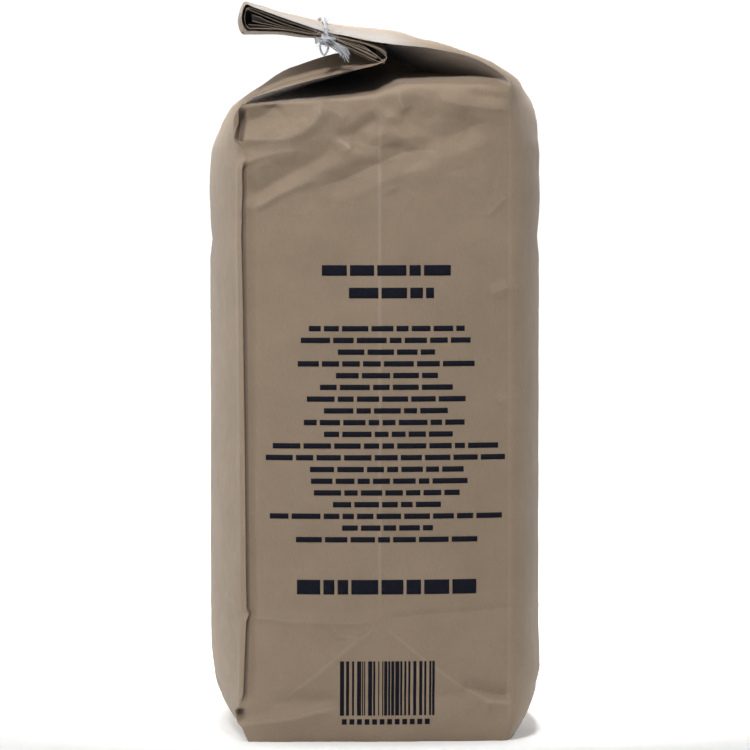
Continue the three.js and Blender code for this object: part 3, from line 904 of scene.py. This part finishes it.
def fibrous_twine():
    chance = np.random.default_rng(11)
    top = sheet_places(np.ones(1), -np.ones(1), np.full(1, TIE_LEVEL))[0]
    knot = np.array([top[0] + 0.6, -HALF_PANEL - 5, top[2] - 4.4])
    loop = smooth_path(twine_loop(knot), LOOP_PLACES)
    bm = bmesh.new()
    laid_plies(bm, loop, plies=5, apart=1.26, reach=0.55, turns=46, radius=0.42, sides=6)
    add_knot(bm, knot, chance)
    bight = smooth_path(knot + np.array(BIGHT), 40)
    laid_plies(bm, bight, plies=3, apart=2.1, reach=0.28, turns=5, radius=0.32, sides=5)
    add_frayed_tail(bm, knot, chance)
    add_loose_fibres(bm, knot, loop, chance)
    return mesh_of(bm, "fibrous_twine")


twine = finished("fibrous_twine", fibrous_twine(), TWINE)
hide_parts("tie_twine")


# The print: plain bars in rows, and a block of upright bars, placed by the camera's pixels

PIXELS_PER_MM = 2.013
MM_PER_PIXEL = 0.4975
CENTRE_PX = (374, 373.3)
CENTRE_MM = (-0.9, 184.3)
ROW_LEFTS = [308, 300, 337, 297, 335, 319, 306, 323, 303, 323, 272, 265, 309, 310, 313, 332, 269, 341, 295]
ROW_RIGHTS = [464, 470, 434, 474, 437, 452, 465, 447, 464, 452, 498, 505, 463, 467, 459, 440, 502, 432, 477]
FIRST_ROW, ROW_STEP, ROW_TALL = 328, 11.72, 2.6
# The larger rows: (left, right, height, how tall, seed)
LARGE_ROWS = [(321, 450, 270, 5.2, 40), (348, 433, 292.5, 5.2, 41), (296, 476, 586.5, 7.2, 43)]
# The block's upper left and lower right corners, and the widths of its bars and gaps
BLOCK = ((339, 661), (434, 716))
BLOCK_BARS = [0.5, 0.5, 1.0, 1.0, 1.5, 2.0]
BLOCK_GAPS = [0.5, 0.5, 1.0, 1.5]
BLOCK_SLACK = 0.4
SHORT_BARS, SHORT_BAR = 12, 2.4
SHORT_BARS_TOP, SHORT_BARS_BOTTOM = 1.8, 4.6
SMALLEST_BAR = 5
BAR_GAP = 1.6
ROW_SLACK = 2
BAR_CELL = 1.2
INK_LIFT = 0.12
INK_THICKNESS = 0.06


def to_gusset(px, py):
    """Across and up on the near gusset, in millimetres, of the place that a pixel shows."""
    return ((px - CENTRE_PX[0]) / PIXELS_PER_MM + CENTRE_MM[0],
            CENTRE_MM[1] + (CENTRE_PX[1] - py) * MM_PER_PIXEL)


def bar(bm, left, right, bottom, top):
    """A thin flat bar of ink that follows the paper."""
    cells, rises = max(1, int((right - left) / BAR_CELL)), max(1, int((top - bottom) / BAR_CELL))
    made = bmesh.ops.create_grid(bm, x_segments=cells, y_segments=rises, size=0.5)["verts"]
    for vert in made:
        across = left + (vert.co.x + 0.5) * (right - left)
        up = bottom + (vert.co.y + 0.5) * (top - bottom)
        vert.co = on_near_side(across, up) - Vector((0, INK_LIFT * MM, 0))


def bar_row(bm, left, right, height, tall, seed):
    """A row of bars of uneven length, between two pixels across at one height."""
    (at, middle), (end, _) = to_gusset(left, height), to_gusset(right, height)
    steady = np.random.default_rng(seed)
    while at < end - ROW_SLACK:
        width = steady.uniform(SMALLEST_BAR, 3 * SMALLEST_BAR)
        if end - at - width < SMALLEST_BAR:
            width = end - at
        bar(bm, at, at + width, middle - tall / 2, middle + tall / 2)
        at += width + BAR_GAP


def bar_block(bm):
    """Upright bars of uneven width side by side, with a row of short ones under them."""
    (left, top), (right, bottom) = to_gusset(*BLOCK[0]), to_gusset(*BLOCK[1])
    steady = np.random.default_rng(7)
    at = left
    while at < right - BLOCK_SLACK:
        width = steady.choice(BLOCK_BARS)
        bar(bm, at, min(at + width, right), bottom, top)
        at += width + steady.choice(BLOCK_GAPS)
    for k in range(SHORT_BARS):
        start = left + 1 + k * (right - left - 2) / SHORT_BARS
        bar(bm, start, start + SHORT_BAR, bottom - SHORT_BARS_BOTTOM, bottom - SHORT_BARS_TOP)


def print_marks():
    bm = bmesh.new()
    for k, (left, right) in enumerate(zip(ROW_LEFTS, ROW_RIGHTS)):
        bar_row(bm, left, right, FIRST_ROW + k * ROW_STEP, ROW_TALL, k + 3)
    for left, right, height, tall, seed in LARGE_ROWS:
        bar_row(bm, left, right, height, tall, seed)
    bar_block(bm)
    return mesh_of(bm, "print_marks")


marks = finished("print_marks", print_marks(), INK)
thickened(marks, "thickness", INK_THICKNESS)


# Camera, floor and light

FRAME_PX = 750
FOCAL_PX = 4848
SENSOR_WIDTH = 36
DISTANCE = 2.5
AZIMUTH, ELEVATION = math.radians(-2.2), math.radians(2.8)
TARGET = Vector((0, 0, 0.180))
WHITE = (1, 1, 1, 1)
FLOOR_SIZE = 6

camera = placed("camera", bpy.data.cameras.new("camera"))
level_part = math.cos(ELEVATION)
backwards = Vector((math.sin(AZIMUTH) * level_part, -math.cos(AZIMUTH) * level_part, math.sin(ELEVATION)))
camera.location = TARGET + backwards * DISTANCE
camera.rotation_euler = (-backwards).to_track_quat("-Z", "Y").to_euler()
camera.data.sensor_width = SENSOR_WIDTH
camera.data.lens = FOCAL_PX * SENSOR_WIDTH / FRAME_PX
camera.data.shift_x = (FRAME_PX / 2 - CENTRE_PX[0]) / FRAME_PX
camera.data.shift_y = (CENTRE_PX[1] - FRAME_PX / 2) / FRAME_PX
camera.data.clip_end = 50
bpy.context.scene.camera = camera

# The floor glows more towards its back
bm = bmesh.new()
bmesh.ops.create_grid(bm, x_segments=1, y_segments=1, size=FLOOR_SIZE)
floor = placed("floor", mesh_of(bm, "floor"))
floor_paint, floor_tree, floor_surface, floor_place = shader("floor_paint")
behind = node(floor_tree, "ShaderNodeSeparateXYZ", {"Vector": floor_place}).outputs["Y"]
set_inputs(floor_tree, floor_surface, {
    "Base Color": (0.8, 0.8, 0.8, 1), "Roughness": 0.9, "Emission Color": WHITE,
    "Emission Strength": ranged(floor_tree, behind, -0.05, 0.45, 0.15, 0.95),
})
floor.data.materials.append(floor_paint)


def soft_light(name, place, aim, size, power, spread):
    """A lamp of size across and down, in metres, that faces its aim."""
    lamp = placed(name, bpy.data.lights.new(name, "AREA"))
    lamp.data.shape = "RECTANGLE"
    lamp.data.size, lamp.data.size_y = size
    lamp.data.energy = power
    lamp.data.spread = math.radians(spread)
    lamp.location = place
    lamp.rotation_euler = (Vector(aim) - Vector(place)).to_track_quat("-Z", "Y").to_euler()


soft_light("key_softbox", (-0.5, -1.6, 2.0), (0, 0, 0.33), (0.5, 0.5), 1.6, 30)
soft_light("roof_softbox", (0.02, -0.02, 1.0), (0.02, 0.01, 0), (0.3, 0.1), 0.24, 15)
soft_light("left_softbox", (-1.6, 0.25, 1.2), (0, 0, 0.3), (1.1, 1.1), 14.5, 180)
soft_light("right_softbox", (1.7, 0.2, 0.9), (0, 0, 0.2), (1.1, 1.1), 6.6, 180)

# The studio's own light is brighter behind the object than in front of it
world = bpy.data.worlds.new("studio")
world.use_nodes = True
world_tree = world.node_tree
facing = node(world_tree, "ShaderNodeTexCoord").outputs["Generated"]
way = node(world_tree, "ShaderNodeSeparateXYZ", {"Vector": facing})
sky = ranged(world_tree, way.outputs["Z"], 0, 0.9, 0.1, 0.44)
backdrop = ranged(world_tree, way.outputs["Y"], 0.9, 0.985, 0, 1.05)
glow = node(world_tree, "ShaderNodeMath", {0: sky, 1: backdrop}, operation="MAXIMUM").outputs[0]
set_inputs(world_tree, world_tree.nodes["Background"], {"Strength": glow, "Color": WHITE})
bpy.context.scene.world = world
bpy.context.scene.view_settings.view_transform = "Standard"
